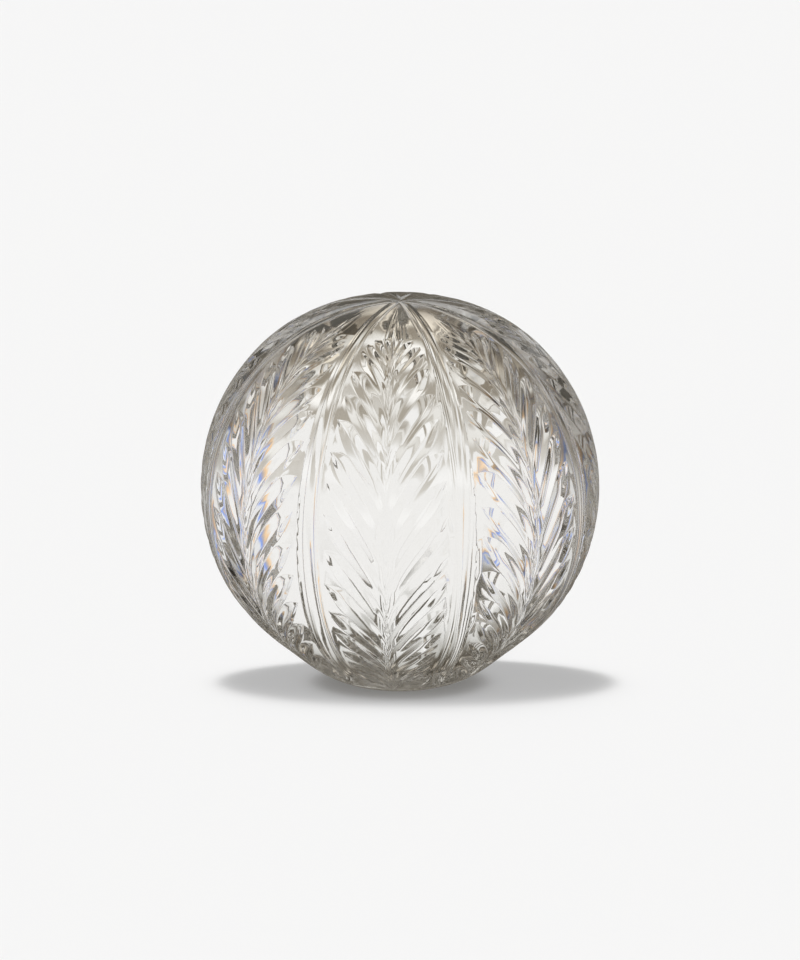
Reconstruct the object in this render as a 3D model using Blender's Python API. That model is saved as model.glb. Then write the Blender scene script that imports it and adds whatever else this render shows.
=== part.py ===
"""Ball of solid clear crystal, wheel cut all over: eight meridian grooves and a palm leaf in each gore.

Metres, +Z up. The origin is the centre of the flat ground base, and the ball's axis is +Z. Azimuth 0 looks
towards -Y, positive towards +X. Latitudes are turned into Mercator heights, in which every leaflet is the same
curve moved up, because a Mercator map keeps angles: a leaflet leaves its spine at the same slant everywhere.
"""
import math

import bmesh
import bpy

# Driving dimensions
RADIUS = 0.050             # from the ball's centre to its ridges, at the widest
BASE_DROP = 0.953          # depth of the flat base below the centre, in radii
GORES = 8
FIRST_SPINE = -4.0         # azimuth of the first leaf's spine, degrees

# The uncut surface: a ball, a little low at the crown and spreading to a rim at the base
CROWN_START = 45.0         # latitude, degrees
CROWN_DROP = 0.030         # radii
FLANK_START = -25.0
FLANK_MIDDLE = -50.0
FLANK_DROP = 0.010
FOOT_START = -50.0
FOOT_END = -69.0
FOOT_FLARE = 0.036

# Cuts
GROOVE_SLOPE = math.tan(math.radians(27.0))   # slope of a groove's side at its edge, from the surface
LEAFLET_SLOPE = math.tan(math.radians(20.0))
GROOVE_FLATNESS = 3        # power of its section; above two its middle is flatter than its sides
GROOVE_HALF = 0.060        # half width of a meridian groove at the equator, radii
GROOVE_NARROWING = 0.50    # share of that lost by the pole
CUTS_END = -65.5           # latitude where the cuts run out above the base, degrees
CUTS_FULL = -54.0          # latitude from which they have their full depth
LEAFLETS = 17              # on each side of a spine
LOWEST_TIP = -0.98         # Mercator height of the lowest tip
TIP_STEP = 0.165           # Mercator height from tip to tip, where they are closest
TIP_SPREAD = 0.0007        # growth of that step with the square of the distance from the closest
CLOSEST_STEP = 4.5
LEAFLET_RISE = 0.52        # Mercator height that a leaflet gains from spine to tip
LEAFLET_SWEEP = 0.60       # power of its curve; below one it leaves the spine along the spine
TIP_AT = 0.93              # share of the half gore where the leaflets end
PART_AT = 0.66             # share of a leaflet's own reach where its neighbours part from it
LOWER_BULGE = 2.2          # roundness of a leaflet's lower outline, towards its tip
UPPER_BULGE = 1.3
RUN_IN = 0.15              # share of the half gore over which a leaflet reaches its full depth
LAST_PLAIN = 13            # the leaflets above this one are a fan that closes over the spine
FAN_TURN = math.radians(22.5)
FAN_HEIGHT = 0.24          # Mercator height that the fan rises over the last plain tip
FAN_SHORTENING = 0.10      # share of its rise that each leaflet of the fan loses
SIDE_SHIFTS = (-0.35, -0.30, 0.00, -0.40, 0.15, -0.15, 0.05, -0.25)   # of a tip step, hand cut

# Fineness
STATIONS = (0.10, 0.30, 0.60, 0.85, TIP_AT, 1.0)          # shares of the half gore, past the spine
GROOVE_OFFSETS = (0.5, 0.0)                                # shares of a groove's half width, to its middle
GROOVE_ROWS = 30
CROWN_ROWS = 3
FLANK_ROWS = 3
POLE_HEIGHT = 6.0          # Mercator height that stands for the pole
LOWEST_HEIGHT = -1.95      # Mercator height that the surface is carried down to before the base is ground
RIM_BAND = 2e-5            # metres; how near the base an edge is when it is part of its rim
WELD = 2e-6                # metres


def smooth_step(value):
    value = min(1.0, max(0.0, value))
    return value * value * (3.0 - 2.0 * value)


def latitude(height):
    """Latitude in radians of a Mercator height."""
    return math.atan(math.sinh(height))


def surface(height):
    """Radius of the uncut surface, in radii of the ball."""
    lat = math.degrees(latitude(height))
    crown = smooth_step((lat - CROWN_START) / (90.0 - CROWN_START))
    flank = smooth_step((FLANK_START - lat) / (FLANK_START - FLANK_MIDDLE))
    foot = smooth_step((FOOT_START - lat) / (FOOT_START - FOOT_END))
    return 1.0 - CROWN_DROP * crown - FLANK_DROP * flank + FOOT_FLARE * foot


def place(azimuth, height, cut=0.0):
    """Point at an azimuth in radians and a Mercator height, a cut's depth under the surface."""
    lat = latitude(height)
    radius = RADIUS * (surface(height) - cut)
    across = radius * math.cos(lat)
    up = radius * math.sin(lat) + RADIUS * BASE_DROP
    return (across * math.sin(azimuth), -across * math.cos(azimuth), up)


def groove_half(height):
    """Half width of a meridian groove, in radii."""
    lat = math.degrees(latitude(height))
    return GROOVE_HALF * (1.0 - GROOVE_NARROWING * smooth_step(lat / 90.0))


def run_out(height):
    """Share of its depth that a cut keeps near the base."""
    lat = math.degrees(latitude(height))
    return smooth_step((lat - CUTS_END) / (CUTS_FULL - CUTS_END))


def groove_depth(height, offset):
    """Depth in radii of a groove's rounded section, at a share of its half width from its middle."""
    deepest = GROOVE_SLOPE * groove_half(height) * run_out(height) / GROOVE_FLATNESS
    return deepest * (1.0 - offset ** GROOVE_FLATNESS)


def groove_angle(height, offset):
    """Angle in radians round the ball's axis from a groove's middle to a share of its half width."""
    return math.atan(offset * groove_half(height) / math.cos(latitude(height)))


def half_gore(height):
    """Angle from a leaf's spine to the edge of the groove beside it, in radians."""
    return max(0.0, math.pi / GORES - groove_angle(height, 1.0))


def taper(reached, bulge):
    """Share of its full width that a leaflet keeps at a share of its own reach."""
    if reached <= PART_AT:
        return 1.0
    return max(0.0, 1.0 - ((reached - PART_AT) / (1.0 - PART_AT)) ** bulge)


class Leaflet:
    """One curved V cut, from the spine to its tip."""

    def __init__(self, index, shift):
        plain = min(index, LAST_PLAIN)
        fan = index - plain
        spreads = [TIP_SPREAD * (step - CLOSEST_STEP) ** 2 for step in range(plain)]
        self.tip = LOWEST_TIP + TIP_STEP * (plain + shift) + sum(spreads) + FAN_HEIGHT * math.sin(fan * FAN_TURN)
        self.reach = TIP_AT * math.cos(fan * FAN_TURN)
        self.rise = LEAFLET_RISE * (1.0 - FAN_SHORTENING * fan)

    def centre(self, share):
        """Mercator height of its valley at a share of the half gore; level past the tip."""
        return self.tip - self.rise * (1.0 - min(1.0, share / self.reach) ** LEAFLET_SWEEP)

    def depth(self, share, half_width):
        """Its depth in radii, where its half width is a difference of Mercator heights."""
        if share <= 0.0 or share >= self.reach:
            return 0.0
        height = self.centre(share)
        gained = self.rise * (share / self.reach) ** LEAFLET_SWEEP
        slant = LEAFLET_SWEEP * gained / (share * half_gore(height))
        width = half_width * math.cos(latitude(height)) / math.hypot(1.0, slant)
        run_in = 1.0 - max(0.0, 1.0 - share / RUN_IN) ** 2
        return LEAFLET_SLOPE * width * run_in * run_out(height)


def apex_height():
    """Mercator height near the pole where the grooves beside a gore meet."""
    low, high = 1.5, 4.0
    for _ in range(40):
        middle = 0.5 * (low + high)
        low, high = (middle, high) if half_gore(middle) > 0.0 else (low, middle)
    return high


def spread(first, last, count):
    """Evenly spaced numbers after the first, up to and including the last."""
    return [first + (last - first) * (index + 1) / count for index in range(count)]


def column(share, leaflets, apex):
    """Rows of (Mercator height, cut depth) at one share of a half gore, from below the base to the apex."""
    rows = []
    for before, leaflet, after in zip(leaflets, leaflets[1:], leaflets[2:] + [None]):
        centre = leaflet.centre(share)
        reached = share / leaflet.reach
        below = 0.5 * (centre - before.centre(share))
        above = 0.5 * (after.centre(share) - centre) if after else below
        below *= taper(reached, LOWER_BULGE)
        above *= taper(reached, UPPER_BULGE)
        depth = leaflet.depth(share, 0.5 * (below + above))
        rows += [(centre - below, 0.0), (centre, depth), (centre + above, 0.0)]
    lowest, highest = rows[0][0], rows[-1][0]
    flank = [(height, 0.0) for height in spread(LOWEST_HEIGHT, lowest, FLANK_ROWS)[:-1]]
    crown = [(height, 0.0) for height in spread(highest, apex, CROWN_ROWS)]
    return [(LOWEST_HEIGHT, 0.0)] + flank + rows + crown


class Shell:
    """The ball's surface, gathered face by face and then welded along the shared corners."""

    def __init__(self):
        self.mesh = bmesh.new()

    def face(self, *corners):
        distinct = []
        for corner in corners:
            if all(math.dist(corner, other) > WELD for other in distinct):
                distinct.append(corner)
        if len(distinct) > 2:
            self.mesh.faces.new([self.mesh.verts.new(corner) for corner in distinct])

    def grid(self, left, right):
        """Joins two lines of as many points each."""
        for low in range(len(left) - 1):
            self.face(left[low], right[low], right[low + 1], left[low + 1])

    def lace(self, left, right):
        """Joins two lines of (key, point) that have different numbers of points, in the order of their keys."""
        i = j = 0
        while i < len(left) - 1 or j < len(right) - 1:
            left_middle = left[i][0] + left[i + 1][0] if i < len(left) - 1 else math.inf
            right_middle = right[j][0] + right[j + 1][0] if j < len(right) - 1 else math.inf
            if left_middle <= right_middle:
                self.face(left[i][1], right[j][1], left[i + 1][1])
                i += 1
            else:
                self.face(left[i][1], right[j][1], right[j + 1][1])
                j += 1

    def finish(self, name):
        """Welds the shell, grinds the base flat, closes it, and makes it an object."""
        mesh = self.mesh
        bmesh.ops.remove_doubles(mesh, verts=mesh.verts, dist=WELD)
        bmesh.ops.triangulate(mesh, faces=mesh.faces)
        everything = mesh.verts[:] + mesh.edges[:] + mesh.faces[:]
        bmesh.ops.bisect_plane(
            mesh, geom=everything, dist=WELD, plane_co=(0, 0, 0), plane_no=(0, 0, -1), clear_outer=True)
        bmesh.ops.remove_doubles(mesh, verts=mesh.verts, dist=WELD)
        open_edges = [edge for edge in mesh.edges if edge.is_boundary]
        rim = [edge for edge in open_edges if all(abs(vert.co.z) < RIM_BAND for vert in edge.verts)]
        for edge in rim:
            for vert in edge.verts:
                vert.co.z = 0.0
        bmesh.ops.contextual_create(mesh, geom=rim)
        bmesh.ops.triangulate(mesh, faces=mesh.faces)
        bmesh.ops.recalc_face_normals(mesh, faces=mesh.faces)
        data = bpy.data.meshes.new(name)
        mesh.to_mesh(data)
        mesh.free()
        ball = bpy.data.objects.new(name, data)
        bpy.context.scene.collection.objects.link(ball)
        return ball


def groove_line(groove, side, offset, apex):
    """One line along a meridian groove, from below the base to the apex, as (Mercator height, point)."""
    heights = [LOWEST_HEIGHT] + spread(LOWEST_HEIGHT, apex, GROOVE_ROWS)
    return [(height, place(groove - side * groove_angle(height, offset), height, groove_depth(height, offset)))
            for height in heights]


def half_leaf(shell, spine, side, spine_rows, leaflets, apex):
    """Carves one half of a gore, from its spine out to the bottom of the groove beside it."""

    def points(share, rows):
        return [place(spine + side * share * half_gore(height), height, cut) for height, cut in rows]

    rows = column(STATIONS[0], leaflets, apex)
    line = points(STATIONS[0], rows)
    keys = [height for height, _ in column(0.0, leaflets, apex)]
    shell.lace([(height, place(spine, height)) for height in spine_rows], list(zip(keys, line)))
    for share in STATIONS[1:]:
        rows = column(share, leaflets, apex)
        previous, line = line, points(share, rows)
        shell.grid(previous, line)
    groove = spine + side * math.pi / GORES
    edge = [(height, point) for (height, _), point in zip(rows, line)]
    lines = [groove_line(groove, side, offset, apex) for offset in GROOVE_OFFSETS]
    shell.lace(edge, lines[0])
    for outer, inner in zip(lines, lines[1:]):
        shell.grid([point for _, point in outer], [point for _, point in inner])


def crown_star(shell, spine, apex):
    """The ridge from a gore's apex to the pole, and the two groove sides that fall away from it."""
    pole = (0.0, 0.0, RADIUS * (BASE_DROP + surface(POLE_HEIGHT) - groove_depth(POLE_HEIGHT, 0.0)))
    for side in (-1, 1):
        groove = spine + side * math.pi / GORES
        rim = [place(spine, apex)]
        for offset in GROOVE_OFFSETS:
            rim.append(place(groove - side * groove_angle(apex, offset), apex, groove_depth(apex, offset)))
        for outer, inner in zip(rim, rim[1:]):
            shell.face(outer, inner, pole)


def crystal():
    """Clear crystal glass, as a material."""
    material = bpy.data.materials.new("clear_crystal")
    material.use_nodes = True
    shader = material.node_tree.nodes["Principled BSDF"]
    shader.inputs["Base Color"].default_value = (0.96, 0.95, 0.93, 1.0)
    shader.inputs["Transmission Weight"].default_value = 1.0
    shader.inputs["Roughness"].default_value = 0.02
    shader.inputs["IOR"].default_value = 1.545
    shader.inputs["Metallic"].default_value = 0.0
    return material


def main():
    for old in list(bpy.data.objects):
        bpy.data.objects.remove(old, do_unlink=True)
    shell = Shell()
    apex = apex_height()
    for gore in range(GORES):
        spine = math.radians(FIRST_SPINE) + gore * 2.0 * math.pi / GORES
        shifts = [SIDE_SHIFTS[(2 * gore + half) % len(SIDE_SHIFTS)] for half in (0, 1)]
        halves = [[Leaflet(index, shift) for index in range(-1, LEAFLETS)] for shift in shifts]
        spine_rows = sorted({height for leaflets in halves for height, _ in column(0.0, leaflets, apex)})
        for side, leaflets in zip((-1, 1), halves):
            half_leaf(shell, spine, side, spine_rows, leaflets, apex)
        crown_star(shell, spine, apex)
    ball = shell.finish("cut_crystal_ball")
    ball.data.materials.append(crystal())


main()
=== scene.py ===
"""Looks of the cut-crystal ball: the fine surface of its cuts, clear crystal, a pale floor and a studio.

Metres, +Z up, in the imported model's frame. Latitudes are turned into Mercator heights, in which every leaflet
is the same curve moved up, because a Mercator map keeps angles. Azimuth 0 looks towards -Y, and grows
towards +X.
"""
import math
import random

import bmesh
import bpy
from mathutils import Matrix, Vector


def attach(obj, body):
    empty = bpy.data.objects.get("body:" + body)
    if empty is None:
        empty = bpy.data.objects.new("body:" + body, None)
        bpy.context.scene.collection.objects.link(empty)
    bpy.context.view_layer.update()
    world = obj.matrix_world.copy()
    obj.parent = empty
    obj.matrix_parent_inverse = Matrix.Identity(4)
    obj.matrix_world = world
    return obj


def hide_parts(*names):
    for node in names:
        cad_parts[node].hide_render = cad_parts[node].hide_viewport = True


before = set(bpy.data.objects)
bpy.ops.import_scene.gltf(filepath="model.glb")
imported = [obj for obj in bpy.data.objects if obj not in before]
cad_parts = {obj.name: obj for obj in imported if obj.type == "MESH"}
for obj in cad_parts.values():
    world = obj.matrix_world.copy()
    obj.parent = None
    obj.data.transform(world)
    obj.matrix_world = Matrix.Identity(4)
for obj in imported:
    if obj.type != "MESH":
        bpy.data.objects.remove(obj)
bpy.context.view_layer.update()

NODE = "cut_crystal_ball"

# The ball, as the solid has it
RADIUS = 0.050             # from the ball's centre to its ridges, at the widest
BASE_DROP = 0.953          # depth of the flat base below the centre, in radii
GORES = 8
FIRST_SPINE = -4.0         # azimuth of the first leaf's spine, degrees
CROWN_START = 45.0         # latitude, degrees
CROWN_DROP = 0.030         # radii
FLANK_START = -25.0
FLANK_MIDDLE = -50.0
FLANK_DROP = 0.010
FOOT_START = -50.0
FOOT_END = -69.0
FOOT_FLARE = 0.036
GROOVE_SLOPE = math.tan(math.radians(27.0))   # slope of a groove's side at its edge, from the surface
LEAFLET_SLOPE = math.tan(math.radians(20.0))
GROOVE_FLATNESS = 3        # power of its section; above two its middle is flatter than its sides
GROOVE_HALF = 0.060        # half width of a meridian groove at the equator, radii
GROOVE_NARROWING = 0.50    # share of that lost by the pole
CUTS_END = -65.5           # latitude where the cuts run out above the base, degrees
CUTS_FULL = -54.0          # latitude from which they have their full depth
LEAFLETS = 17              # on each side of a spine
LOWEST_TIP = -0.98         # Mercator height of the lowest tip
TIP_STEP = 0.165           # Mercator height from tip to tip, where they are closest
TIP_SPREAD = 0.0007        # growth of that step with the square of the distance from the closest
CLOSEST_STEP = 4.5
LEAFLET_RISE = 0.52        # Mercator height that a leaflet gains from spine to tip
LEAFLET_SWEEP = 0.60       # power of its curve; below one it leaves the spine along the spine
TIP_AT = 0.93              # share of the half gore where the leaflets end
PART_AT = 0.66             # share of a leaflet's own reach where its neighbours part from it
LOWER_BULGE = 2.2          # roundness of a leaflet's lower outline, towards its tip
UPPER_BULGE = 1.3
RUN_IN = 0.15              # share of the half gore over which a leaflet reaches its full depth
LAST_PLAIN = 13            # the leaflets above this one are a fan that closes over the spine
FAN_TURN = math.radians(22.5)
FAN_HEIGHT = 0.24          # Mercator height that the fan rises over the last plain tip
FAN_SHORTENING = 0.10      # share of its rise that each leaflet of the fan loses
SIDE_SHIFTS = (-0.35, -0.30, 0.00, -0.40, 0.15, -0.15, 0.05, -0.25)   # of a tip step, hand cut

# Fineness of the visible surface
INNER_STATIONS = 11                           # from the spine to where the leaflets part
STATION_CROWDING = 1.4                        # power by which those crowd towards the spine
OUTER_STATIONS = 9                            # from there to their tips
CUT_ROWS = (1.0, 0.95, 0.90, 0.48, 0.06)      # shares of a leaflet's half width, edge to valley
EDGE_ROUNDING = 0.10                          # share of the half width over which its edge is rounded
VALLEY_ROUNDING = 0.06
LAND_ROWS = 2                                 # rows of uncut surface between two tips
CROWN_ROWS = 6
FLANK_ROWS = 8
GROOVE_OFFSETS = (0.93, 0.80, 0.60, 0.40, 0.20, 0.0)   # shares of a groove's half width, to its middle
GROOVE_ROWS = 130
POLE_HEIGHT = 6.0          # Mercator height that stands for the pole
LOWEST_HEIGHT = -1.95      # Mercator height that the surface is carried down to before the base is ground
RIM_BAND = 2e-5            # metres; how near the base an edge is when it is part of its rim
WELD = 1e-6                # metres
SHARP = math.radians(13.0)   # an edge that turns more is shaded sharp
FACING_DOWN = -0.999       # upward part of a base face's normal, at most

# Hand cutting: how far a leaflet strays from the pattern
STRAY_TIP = 0.10           # of a tip step
STRAY_DEPTH = 0.10
SEED = 11

# Materials
CRYSTAL_ROUGHNESS = 0.035
CRYSTAL_IOR = 1.545
CRYSTAL_TINT = (0.86, 0.85, 0.82)   # a faint grey brown, seen through its thickness
CRYSTAL_DENSITY = 10.0     # of the tint's absorption, per metre
WAVE_SCALE = 160.0         # of the unevenness in the polish, per metre
WAVE_DETAIL = 2.0
WAVE_STRENGTH = 0.05
WAVE_HEIGHT = 0.0005       # metres
# Painted shade: the base's dark grey stands in for the shaded floor under the ball seen through it; its matt
# roughness is the base's own
BASE_SHADE_COLOUR = (0.16, 0.15, 0.13)
GROUND_ROUGHNESS = 0.7
FLOOR_COLOUR = (0.83, 0.83, 0.83)

# Studio
FLOOR_HALF = 2.5           # half its width, metres
# Painted shadow: unseen tinted sheets near the floor whose shade stands in for the ball's own cast shadow and
# contact shade, since the ball casts none
CONTACT_SHADE_TINT = (0.42, 0.41, 0.39)
SHADOW_SHEETS = (                 # name, centre and half size in radii, front and back heights in metres, tint
    ("shadow", (0.085, -0.25), (1.00, 0.33), (0.004, 0.001), (0.50, 0.50, 0.50)),
    ("contact", (0.0, -0.24), (0.44, 0.25), (0.003, 0.003), CONTACT_SHADE_TINT),
    ("contact_behind", (0.0, 0.26), (0.46, 0.27), (0.003, 0.003), CONTACT_SHADE_TINT),
)
OVAL_STEPS = 96
EVEN_LIGHT = 1.18          # strength of the light that the floor gets from all round
SEEN_BACKGROUND = (0.92, 0.92, 0.92)
MIRROR_STOPS = (           # what the crystal's outer surface reflects, by the height of a direction
    (0.20, (0.16, 0.145, 0.12)),
    (0.28, (1.3, 1.3, 1.3)),
    (0.37, (1.3, 1.3, 1.3)),
    (0.46, (0.22, 0.21, 0.19)),
)
BACKDROP_DIRECTION = (0.12, 0.983, -0.14)
ROOM_SQUEEZE = (0.85, 1.0, 1.35)   # the backdrop is wider than it is high
# The room's colour is the product of these three ramps.
ROOM_STOPS = (             # by angle from the backdrop's middle, degrees
    (0.0, (1.06, 1.06, 1.07)),
    (37.0, (1.04, 1.04, 1.04)),
    (46.0, (0.84, 0.83, 0.81)),
    (50.0, (0.50, 0.48, 0.44)),
    (57.0, (0.32, 0.285, 0.235)),
    (64.0, (0.10, 0.085, 0.065)),
    (74.0, (0.050, 0.043, 0.033)),
    (100.0, (0.045, 0.039, 0.030)),
    (112.0, (0.24, 0.22, 0.19)),
    (128.0, (0.68, 0.67, 0.65)),
    (180.0, (0.78, 0.78, 0.78)),
)
HEIGHT_STOPS = (           # by the height of a direction, from straight down to straight up
    (-1.00, (1.6, 1.5, 1.4)),
    (-0.93, (1.4, 1.3, 1.1)),
    (-0.90, (4.0, 4.1, 4.3)),
    (-0.84, (3.4, 3.5, 3.6)),
    (-0.81, (0.80, 0.74, 0.66)),
    (-0.76, (0.75, 0.70, 0.62)),
    (-0.73, (1.5, 1.5, 1.5)),
    (-0.69, (1.3, 1.3, 1.3)),
    (-0.66, (0.50, 0.46, 0.40)),
    (-0.60, (0.48, 0.44, 0.38)),
    (-0.57, (0.95, 0.94, 0.92)),
    (-0.53, (0.90, 0.89, 0.86)),
    (-0.50, (0.62, 0.59, 0.54)),
    (-0.44, (0.72, 0.70, 0.66)),
    (-0.40, (1.0, 1.0, 1.0)),
    (0.22, (1.0, 1.0, 1.0)),
    (0.42, (0.66, 0.66, 0.64)),
    (0.48, (0.20, 0.18, 0.15)),
    (0.56, (0.16, 0.14, 0.11)),
    (0.60, (1.9, 1.9, 1.9)),
    (0.64, (1.9, 1.9, 1.9)),
    (0.67, (0.10, 0.085, 0.06)),
    (0.76, (0.08, 0.07, 0.05)),
    (0.79, (2.2, 2.2, 2.2)),
    (0.83, (2.2, 2.2, 2.2)),
    (0.86, (0.12, 0.10, 0.07)),
    (1.00, (0.30, 0.28, 0.24)),
)
SIDE_STOPS = (             # by how far a direction leans to the side: the crystal's rainbow glints
    (0.50, (1.00, 1.00, 1.00)),
    (0.52, (1.10, 0.76, 0.44)),
    (0.54, (0.60, 0.54, 0.52)),
    (0.56, (0.24, 0.42, 1.05)),
    (0.58, (0.95, 0.97, 1.00)),
    (0.68, (1.00, 1.00, 1.00)),
    (0.70, (0.90, 0.60, 0.34)),
    (0.72, (0.45, 0.42, 0.44)),
    (0.735, (0.25, 0.45, 1.15)),
    (0.75, (0.95, 0.97, 1.00)),
    (1.00, (1.00, 1.00, 1.00)),
)

# Camera
VIEW_ELEVATION = 18.0      # degrees
VIEW_DISTANCE = 0.900      # metres
LENS = 134.4               # millimetres, for the 36 mm long side
AIM_LIFT = 0.0018          # of the aim above the ball's centre, metres
CLIP_START = 0.05          # metres

BOUNCES = 24               # of light inside the crystal


def smooth_step(value):
    value = min(1.0, max(0.0, value))
    return value * value * (3.0 - 2.0 * value)


def latitude(height):
    """Latitude in radians of a Mercator height."""
    return math.atan(math.sinh(height))


def surface(height):
    """Radius of the uncut surface, in radii of the ball."""
    lat = math.degrees(latitude(height))
    crown = smooth_step((lat - CROWN_START) / (90.0 - CROWN_START))
    flank = smooth_step((FLANK_START - lat) / (FLANK_START - FLANK_MIDDLE))
    foot = smooth_step((FOOT_START - lat) / (FOOT_START - FOOT_END))
    return 1.0 - CROWN_DROP * crown - FLANK_DROP * flank + FOOT_FLARE * foot


def place(azimuth, height, cut=0.0):
    """Point at an azimuth in radians and a Mercator height, a cut's depth under the surface."""
    lat = latitude(height)
    radius = RADIUS * (surface(height) - cut)
    across = radius * math.cos(lat)
    up = radius * math.sin(lat) + RADIUS * BASE_DROP
    return (across * math.sin(azimuth), -across * math.cos(azimuth), up)


def groove_half(height):
    """Half width of a meridian groove, in radii."""
    lat = math.degrees(latitude(height))
    return GROOVE_HALF * (1.0 - GROOVE_NARROWING * smooth_step(lat / 90.0))


def run_out(height):
    """Share of its depth that a cut keeps near the base."""
    lat = math.degrees(latitude(height))
    return smooth_step((lat - CUTS_END) / (CUTS_FULL - CUTS_END))


def groove_depth(height, offset):
    """Depth in radii of a groove's rounded section, at a share of its half width from its middle."""
    deepest = GROOVE_SLOPE * groove_half(height) * run_out(height) / GROOVE_FLATNESS
    return deepest * (1.0 - offset ** GROOVE_FLATNESS)


def groove_angle(height, offset):
    """Angle in radians round the ball's axis from a groove's middle to a share of its half width."""
    return math.atan(offset * groove_half(height) / math.cos(latitude(height)))


def half_gore(height):
    """Angle from a leaf's spine to the edge of the groove beside it, in radians."""
    return max(0.0, math.pi / GORES - groove_angle(height, 1.0))


def taper(reached, bulge):
    """Share of its full width that a leaflet keeps at a share of its own reach."""
    if reached <= PART_AT:
        return 1.0
    return max(0.0, 1.0 - ((reached - PART_AT) / (1.0 - PART_AT)) ** bulge)


class Leaflet:
    """One curved V cut, from the spine to its tip."""

    def __init__(self, index, shift, dice):
        plain = min(index, LAST_PLAIN)
        fan = index - plain
        spreads = [TIP_SPREAD * (step - CLOSEST_STEP) ** 2 for step in range(plain)]
        self.tip = LOWEST_TIP + TIP_STEP * (plain + shift) + sum(spreads)
        self.tip += FAN_HEIGHT * math.sin(fan * FAN_TURN)
        self.tip += TIP_STEP * STRAY_TIP * dice.uniform(-1.0, 1.0)
        self.fullness = 1.0 - STRAY_DEPTH * dice.uniform(0.0, 1.0)
        self.reach = TIP_AT * math.cos(fan * FAN_TURN)
        self.rise = LEAFLET_RISE * (1.0 - FAN_SHORTENING * fan)

    def centre(self, share):
        """Mercator height of its valley at a share of the half gore; level past the tip."""
        return self.tip - self.rise * (1.0 - min(1.0, share / self.reach) ** LEAFLET_SWEEP)

    def depth(self, share, half_width):
        """Its depth in radii, where its half width is a difference of Mercator heights."""
        if share <= 0.0 or share >= self.reach:
            return 0.0
        height = self.centre(share)
        gained = self.rise * (share / self.reach) ** LEAFLET_SWEEP
        slant = LEAFLET_SWEEP * gained / (share * half_gore(height))
        width = half_width * math.cos(latitude(height)) / math.hypot(1.0, slant)
        run_in = 1.0 - max(0.0, 1.0 - share / RUN_IN) ** 2
        return LEAFLET_SLOPE * width * run_in * run_out(height) * self.fullness


def apex_height():
    """Mercator height near the pole where the grooves beside a gore meet."""
    low, high = 1.5, 4.0
    for _ in range(40):
        middle = 0.5 * (low + high)
        low, high = (middle, high) if half_gore(middle) > 0.0 else (low, middle)
    return high


def spread(first, last, count):
    """Evenly spaced numbers after the first, up to and including the last."""
    return [first + (last - first) * (index + 1) / count for index in range(count)]


def section(offset):
    """Share of a leaflet's depth at a share of its half width: a V, its valley and edges a little rounded."""
    if offset > 1.0 - EDGE_ROUNDING:
        return 0.5 * (1.0 - offset) ** 2 / EDGE_ROUNDING
    plain = 1.0 - offset - 0.5 * EDGE_ROUNDING
    if offset < VALLEY_ROUNDING:
        return plain - 0.5 * (VALLEY_ROUNDING - offset) ** 2 / VALLEY_ROUNDING
    return plain


def column(share, leaflets, apex):
    """Rows of (Mercator height, cut depth) at one share of a half gore, from below the base to the apex."""
    rows = []
    for before, leaflet, after in zip(leaflets, leaflets[1:], leaflets[2:] + [None]):
        centre = leaflet.centre(share)
        reached = share / leaflet.reach
        below = 0.5 * (centre - before.centre(share))
        above = 0.5 * (after.centre(share) - centre) if after else below
        below *= taper(reached, LOWER_BULGE)
        above *= taper(reached, UPPER_BULGE)
        depth = leaflet.depth(share, 0.5 * (below + above))
        if rows:
            rows += [(height, 0.0) for height in spread(rows[-1][0], centre - below, LAND_ROWS)[:-1]]
        rows += [(centre - below * offset, depth * section(offset)) for offset in CUT_ROWS]
        rows.append((centre, depth * section(0.0)))
        rows += [(centre + above * offset, depth * section(offset)) for offset in reversed(CUT_ROWS)]
    lowest, highest = rows[0][0], rows[-1][0]
    flank = [(height, 0.0) for height in spread(LOWEST_HEIGHT, lowest, FLANK_ROWS)[:-1]]
    crown = [(height, 0.0) for height in spread(highest, apex, CROWN_ROWS)]
    return [(LOWEST_HEIGHT, 0.0)] + flank + rows + crown


def stations():
    """Shares of a half gore at which the surface has its columns, past the spine."""
    parting = PART_AT * TIP_AT
    inner = [parting * (index / INNER_STATIONS) ** STATION_CROWDING for index in range(1, INNER_STATIONS + 1)]
    return inner + spread(parting, TIP_AT, OUTER_STATIONS) + [1.0]


def groove_line(groove, side, offset, apex):
    """One line along a meridian groove, from below the base to the apex, as (Mercator height, point)."""
    line = []
    for height in [LOWEST_HEIGHT] + spread(LOWEST_HEIGHT, apex, GROOVE_ROWS):
        azimuth = groove - side * groove_angle(height, offset)
        line.append((height, place(azimuth, height, groove_depth(height, offset))))
    return line


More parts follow.
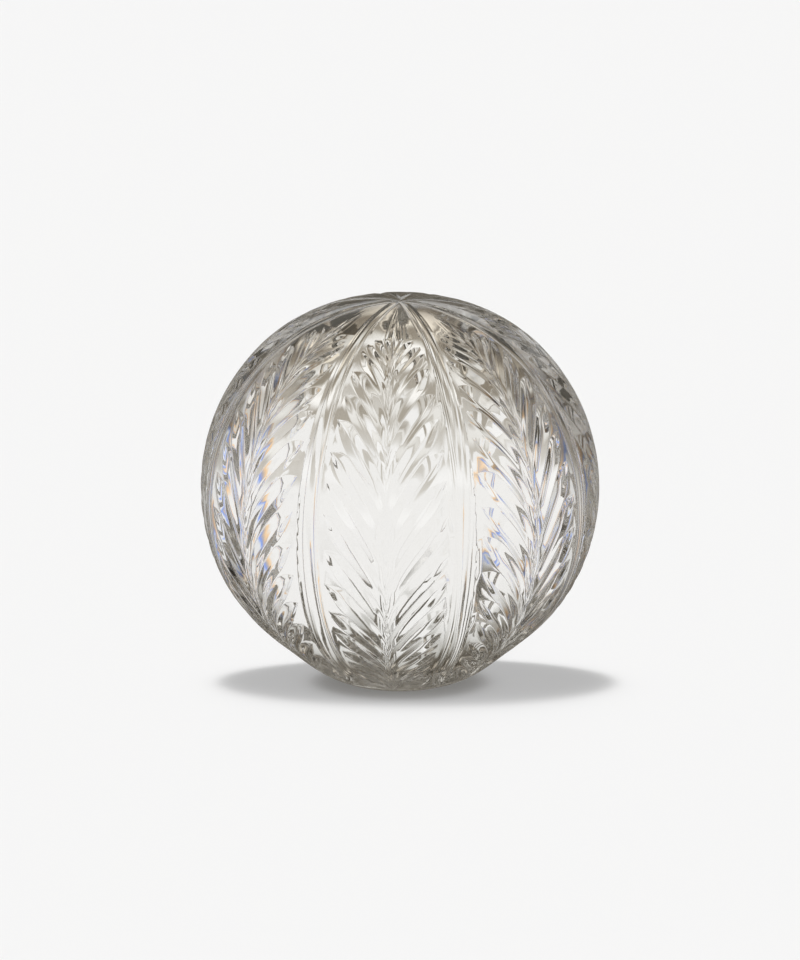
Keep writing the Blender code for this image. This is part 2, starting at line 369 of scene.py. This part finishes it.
class Shell:
    """The ball's surface, gathered face by face and then welded along the shared corners."""

    def __init__(self):
        self.mesh = bmesh.new()

    def face(self, *corners):
        distinct = []
        for corner in corners:
            if all(math.dist(corner, other) > WELD for other in distinct):
                distinct.append(corner)
        if len(distinct) > 2:
            self.mesh.faces.new([self.mesh.verts.new(corner) for corner in distinct])

    def grid(self, left, right):
        """Joins two lines of as many points each."""
        for low in range(len(left) - 1):
            self.face(left[low], right[low], right[low + 1], left[low + 1])

    def lace(self, left, right):
        """Joins two lines of (key, point), of different numbers of points, in the order of their keys."""
        i = j = 0
        while i < len(left) - 1 or j < len(right) - 1:
            left_middle = left[i][0] + left[i + 1][0] if i < len(left) - 1 else math.inf
            right_middle = right[j][0] + right[j + 1][0] if j < len(right) - 1 else math.inf
            if left_middle <= right_middle:
                self.face(left[i][1], right[j][1], left[i + 1][1])
                i += 1
            else:
                self.face(left[i][1], right[j][1], right[j + 1][1])
                j += 1

    def finish(self, name):
        """Welds the shell, grinds the base flat, closes it, and makes it an object."""
        mesh = self.mesh
        bmesh.ops.remove_doubles(mesh, verts=mesh.verts, dist=WELD)
        bmesh.ops.triangulate(mesh, faces=mesh.faces)
        everything = mesh.verts[:] + mesh.edges[:] + mesh.faces[:]
        bmesh.ops.bisect_plane(
            mesh, geom=everything, dist=WELD, plane_co=(0, 0, 0), plane_no=(0, 0, -1), clear_outer=True)
        bmesh.ops.remove_doubles(mesh, verts=mesh.verts, dist=WELD)
        open_edges = [edge for edge in mesh.edges if edge.is_boundary]
        rim = [edge for edge in open_edges if all(abs(vert.co.z) < RIM_BAND for vert in edge.verts)]
        for edge in rim:
            for vert in edge.verts:
                vert.co.z = 0.0
        bmesh.ops.contextual_create(mesh, geom=rim)
        bmesh.ops.triangulate(mesh, faces=mesh.faces)
        bmesh.ops.recalc_face_normals(mesh, faces=mesh.faces)
        data = bpy.data.meshes.new(name)
        mesh.to_mesh(data)
        mesh.free()
        data.shade_smooth()
        data.set_sharp_from_angle(angle=SHARP)
        ball = bpy.data.objects.new(name, data)
        bpy.context.scene.collection.objects.link(ball)
        return ball


def half_leaf(shell, spine, side, spine_rows, leaflets, apex):
    """Carves one half of a gore, from its spine out to the bottom of the groove beside it."""

    def points(share, rows):
        return [place(spine + side * share * half_gore(height), height, cut) for height, cut in rows]

    shares = stations()
    rows = column(shares[0], leaflets, apex)
    line = points(shares[0], rows)
    keys = [height for height, _ in column(0.0, leaflets, apex)]
    shell.lace([(height, place(spine, height)) for height in spine_rows], list(zip(keys, line)))
    for share in shares[1:]:
        rows = column(share, leaflets, apex)
        previous, line = line, points(share, rows)
        shell.grid(previous, line)
    groove = spine + side * math.pi / GORES
    edge = [(height, point) for (height, _), point in zip(rows, line)]
    lines = [groove_line(groove, side, offset, apex) for offset in GROOVE_OFFSETS]
    shell.lace(edge, lines[0])
    for outer, inner in zip(lines, lines[1:]):
        shell.grid([point for _, point in outer], [point for _, point in inner])


def crown_star(shell, spine, apex):
    """The ridge from a gore's apex to the pole, and the two groove sides that fall away from it."""
    pole = (0.0, 0.0, RADIUS * (BASE_DROP + surface(POLE_HEIGHT) - groove_depth(POLE_HEIGHT, 0.0)))
    for side in (-1, 1):
        groove = spine + side * math.pi / GORES
        rim = [place(spine, apex)]
        for offset in GROOVE_OFFSETS:
            rim.append(place(groove - side * groove_angle(apex, offset), apex, groove_depth(apex, offset)))
        for outer, inner in zip(rim, rim[1:]):
            shell.face(outer, inner, pole)


def cut_ball():
    """The whole ball, one gore after another round its axis."""
    shell = Shell()
    apex = apex_height()
    dice = random.Random(SEED)
    for gore in range(GORES):
        spine = math.radians(FIRST_SPINE) + gore * 2.0 * math.pi / GORES
        halves = []
        for half in (0, 1):
            shift = SIDE_SHIFTS[(2 * gore + half) % len(SIDE_SHIFTS)]
            halves.append([Leaflet(index, shift, dice) for index in range(-1, LEAFLETS)])
        spine_rows = sorted({height for leaflets in halves for height, _ in column(0.0, leaflets, apex)})
        for side, leaflets in zip((-1, 1), halves):
            half_leaf(shell, spine, side, spine_rows, leaflets, apex)
        crown_star(shell, spine, apex)
    return shell.finish("fine_cut_crystal_ball")


def crystal():
    """Clear crystal glass with a polished surface that is very slightly uneven."""
    material = bpy.data.materials.new("clear_crystal")
    material.use_nodes = True
    nodes = material.node_tree.nodes
    links = material.node_tree.links
    shader = nodes["Principled BSDF"]
    shader.inputs["Base Color"].default_value = (1.0, 1.0, 1.0, 1.0)
    shader.inputs["Transmission Weight"].default_value = 1.0
    shader.inputs["Roughness"].default_value = CRYSTAL_ROUGHNESS
    shader.inputs["IOR"].default_value = CRYSTAL_IOR
    coordinates = nodes.new("ShaderNodeTexCoord")
    waves = nodes.new("ShaderNodeTexNoise")
    waves.inputs["Scale"].default_value = WAVE_SCALE
    waves.inputs["Detail"].default_value = WAVE_DETAIL
    bump = nodes.new("ShaderNodeBump")
    bump.inputs["Strength"].default_value = WAVE_STRENGTH
    bump.inputs["Distance"].default_value = WAVE_HEIGHT
    links.new(coordinates.outputs["Object"], waves.inputs["Vector"])
    links.new(waves.outputs["Fac"], bump.inputs["Height"])
    links.new(bump.outputs["Normal"], shader.inputs["Normal"])
    absorption = nodes.new("ShaderNodeVolumeAbsorption")
    absorption.inputs["Color"].default_value = (*CRYSTAL_TINT, 1.0)
    absorption.inputs["Density"].default_value = CRYSTAL_DENSITY
    links.new(absorption.outputs["Volume"], nodes["Material Output"].inputs["Volume"])
    return material


def ground_shaded_base():
    """The flat base, ground matt, and it hides what is under it: its dark grey is painted shade, standing in
    for the shaded floor under the ball.
    """
    material = bpy.data.materials.new("ground_base_shade")
    material.use_nodes = True
    shader = material.node_tree.nodes["Principled BSDF"]
    shader.inputs["Base Color"].default_value = (*BASE_SHADE_COLOUR, 1.0)
    shader.inputs["Roughness"].default_value = GROUND_ROUGHNESS
    return material


def dress(ball):
    """Polished crystal, with ground glass on the base, painted dark grey as shade; the ball casts no shadow of
    its own.
    """
    ball.data.materials.append(crystal())
    ball.data.materials.append(ground_shaded_base())
    # the downward faces of the base take the painted shade
    for face in ball.data.polygons:
        if face.normal.z < FACING_DOWN and face.center.z < WELD:
            face.material_index = 1
    ball.visible_shadow = False
    ball.visible_diffuse = False


def floor():
    """A plain pale floor that only the camera sees."""
    data = bpy.data.meshes.new("studio_floor")
    corners = [(x * FLOOR_HALF, y * FLOOR_HALF, 0.0) for x, y in ((-1, -1), (1, -1), (1, 1), (-1, 1))]
    data.from_pydata(corners, [], [(0, 1, 2, 3)])
    plane = bpy.data.objects.new("studio_floor", data)
    bpy.context.scene.collection.objects.link(plane)
    material = bpy.data.materials.new("pale_floor")
    material.use_nodes = True
    shader = material.node_tree.nodes["Principled BSDF"]
    shader.inputs["Base Color"].default_value = (*FLOOR_COLOUR, 1.0)
    shader.inputs["Roughness"].default_value = 1.0
    shader.inputs["Specular IOR Level"].default_value = 0.0
    data.materials.append(material)
    plane.visible_transmission = False
    plane.visible_glossy = False


def shadow_sheet(name, centre, size, heights, shade_tint):
    """An unseen oval sheet near the floor, a painted shadow: its tint shades the floor from the even light in
    place of the ball's own shadow.
    """
    data = bpy.data.meshes.new(name)
    front, back = heights
    ring = []
    for step in range(OVAL_STEPS):
        turn = 2.0 * math.pi * step / OVAL_STEPS
        along, across = math.cos(turn), math.sin(turn)
        x = RADIUS * (centre[0] + size[0] * along)
        y = RADIUS * (centre[1] + size[1] * across)
        ring.append((x, y, back + (front - back) * 0.5 * (1.0 - across)))
    data.from_pydata(ring, [], [tuple(range(OVAL_STEPS))])
    oval = bpy.data.objects.new(name, data)
    bpy.context.scene.collection.objects.link(oval)
    material = bpy.data.materials.new(name)
    material.use_nodes = True
    nodes = material.node_tree.nodes
    nodes.clear()
    # a see-through tinted filter; the shade it leaves on the floor is a painted shadow
    shade_filter = nodes.new("ShaderNodeBsdfTransparent")
    shade_filter.inputs["Color"].default_value = (*shade_tint, 1.0)
    out = nodes.new("ShaderNodeOutputMaterial")
    material.node_tree.links.new(shade_filter.outputs["BSDF"], out.inputs["Surface"])
    data.materials.append(material)
    oval.visible_camera = False
    oval.visible_glossy = False
    oval.visible_transmission = False


def add(tree, kind, *given, operation=None):
    """A new node, whose first inputs are linked to the given sockets or set to the given values."""
    node = tree.nodes.new(kind)
    if operation:
        node.operation = operation
    for socket, source in zip(node.inputs, given):
        if isinstance(source, bpy.types.NodeSocket):
            tree.links.new(source, socket)
        else:
            socket.default_value = source
    return node


def ramp(tree, place_on_it, stops):
    """The colour that stops of (position, (red, green, blue)) give at a place."""
    node = add(tree, "ShaderNodeValToRGB", place_on_it)
    while len(node.color_ramp.elements) < len(stops):
        node.color_ramp.elements.new(0.5)
    for element, (position, colour) in zip(node.color_ramp.elements, stops):
        element.position = position
        element.color = (*colour, 1.0)
    return node.outputs["Color"]


def vector(tree, operation, *given):
    """The result of vector maths on the given sockets and values."""
    return add(tree, "ShaderNodeVectorMath", *given, operation=operation).outputs["Vector"]


def from_heights(stops):
    """Stops at heights from -1 to 1, moved to the 0 to 1 of a ramp."""
    return [(0.5 + 0.5 * height, colour) for height, colour in stops]


def room_colour(tree, direction, height, lean):
    """The room's colour in a direction: by its angle from the backdrop, its height and its lean."""
    unit = vector(tree, "NORMALIZE", vector(tree, "MULTIPLY", direction, ROOM_SQUEEZE))
    facing = add(tree, "ShaderNodeVectorMath", unit, BACKDROP_DIRECTION, operation="DOT_PRODUCT")
    angle = add(tree, "ShaderNodeMath", facing.outputs["Value"], operation="ARCCOSINE").outputs["Value"]
    turn = add(tree, "ShaderNodeMapRange", angle, 0.0, math.pi).outputs["Result"]
    by_angle = ramp(tree, turn, [(degrees / 180.0, colour) for degrees, colour in ROOM_STOPS])
    by_height = ramp(tree, height, from_heights(HEIGHT_STOPS))
    by_lean = ramp(tree, lean, SIDE_STOPS)
    return vector(tree, "MULTIPLY", vector(tree, "MULTIPLY", by_angle, by_height), by_lean)


def background(tree, colour, strength=1.0):
    return add(tree, "ShaderNodeBackground", colour, strength).outputs["Background"]


def studio():
    """The world: even light for the floor, a plain background for the camera, and a room round the crystal.

    The room has a white backdrop behind the ball, dim side walls, and a paler wall where the camera stands.
    """
    world = bpy.data.worlds.new("studio")
    bpy.context.scene.world = world
    world.use_nodes = True
    tree = world.node_tree
    tree.nodes.clear()
    direction = tree.nodes.new("ShaderNodeTexCoord").outputs["Generated"]
    split = add(tree, "ShaderNodeSeparateXYZ", direction).outputs
    height = add(tree, "ShaderNodeMapRange", split["Z"], -1.0, 1.0).outputs["Result"]
    lean = add(tree, "ShaderNodeMath", split["X"], operation="ABSOLUTE").outputs["Value"]
    shader = background(tree, room_colour(tree, direction, height, lean))
    mirrored = background(tree, ramp(tree, height, from_heights(MIRROR_STOPS)))
    even = background(tree, (1.0, 1.0, 1.0, 1.0), EVEN_LIGHT)
    seen = background(tree, (*SEEN_BACKGROUND, 1.0))
    path = tree.nodes.new("ShaderNodeLightPath").outputs
    for ray, light in (("Is Reflection Ray", mirrored), ("Is Diffuse Ray", even), ("Is Camera Ray", seen)):
        shader = add(tree, "ShaderNodeMixShader", path[ray], shader, light).outputs["Shader"]
    add(tree, "ShaderNodeOutputWorld", shader)


def camera(centre):
    """The camera, in front of the ball and a little above it."""
    lens = bpy.data.cameras.new("camera")
    lens.lens = LENS
    lens.clip_start = CLIP_START
    eye = bpy.data.objects.new("camera", lens)
    bpy.context.scene.collection.objects.link(eye)
    aim = centre + Vector((0.0, 0.0, AIM_LIFT))
    tilt = math.radians(VIEW_ELEVATION)
    back = Vector((0.0, -math.cos(tilt), math.sin(tilt)))
    eye.location = aim + back * VIEW_DISTANCE
    eye.rotation_euler = (-back).to_track_quat("-Z", "Y").to_euler()
    bpy.context.scene.camera = eye


def light_paths():
    """Light crosses the crystal many times before it leaves."""
    scene = bpy.context.scene
    scene.view_settings.view_transform = "Standard"
    scene.cycles.max_bounces = BOUNCES
    scene.cycles.transmission_bounces = BOUNCES
    scene.cycles.glossy_bounces = BOUNCES


camera(Vector((0.0, 0.0, RADIUS * BASE_DROP)))
ball = cut_ball()
dress(ball)
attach(ball, "root")
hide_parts(NODE)
floor()
# painted shadow and contact shade on the floor, from the unseen sheets
for oval in SHADOW_SHEETS:
    shadow_sheet(*oval)
studio()
light_paths()
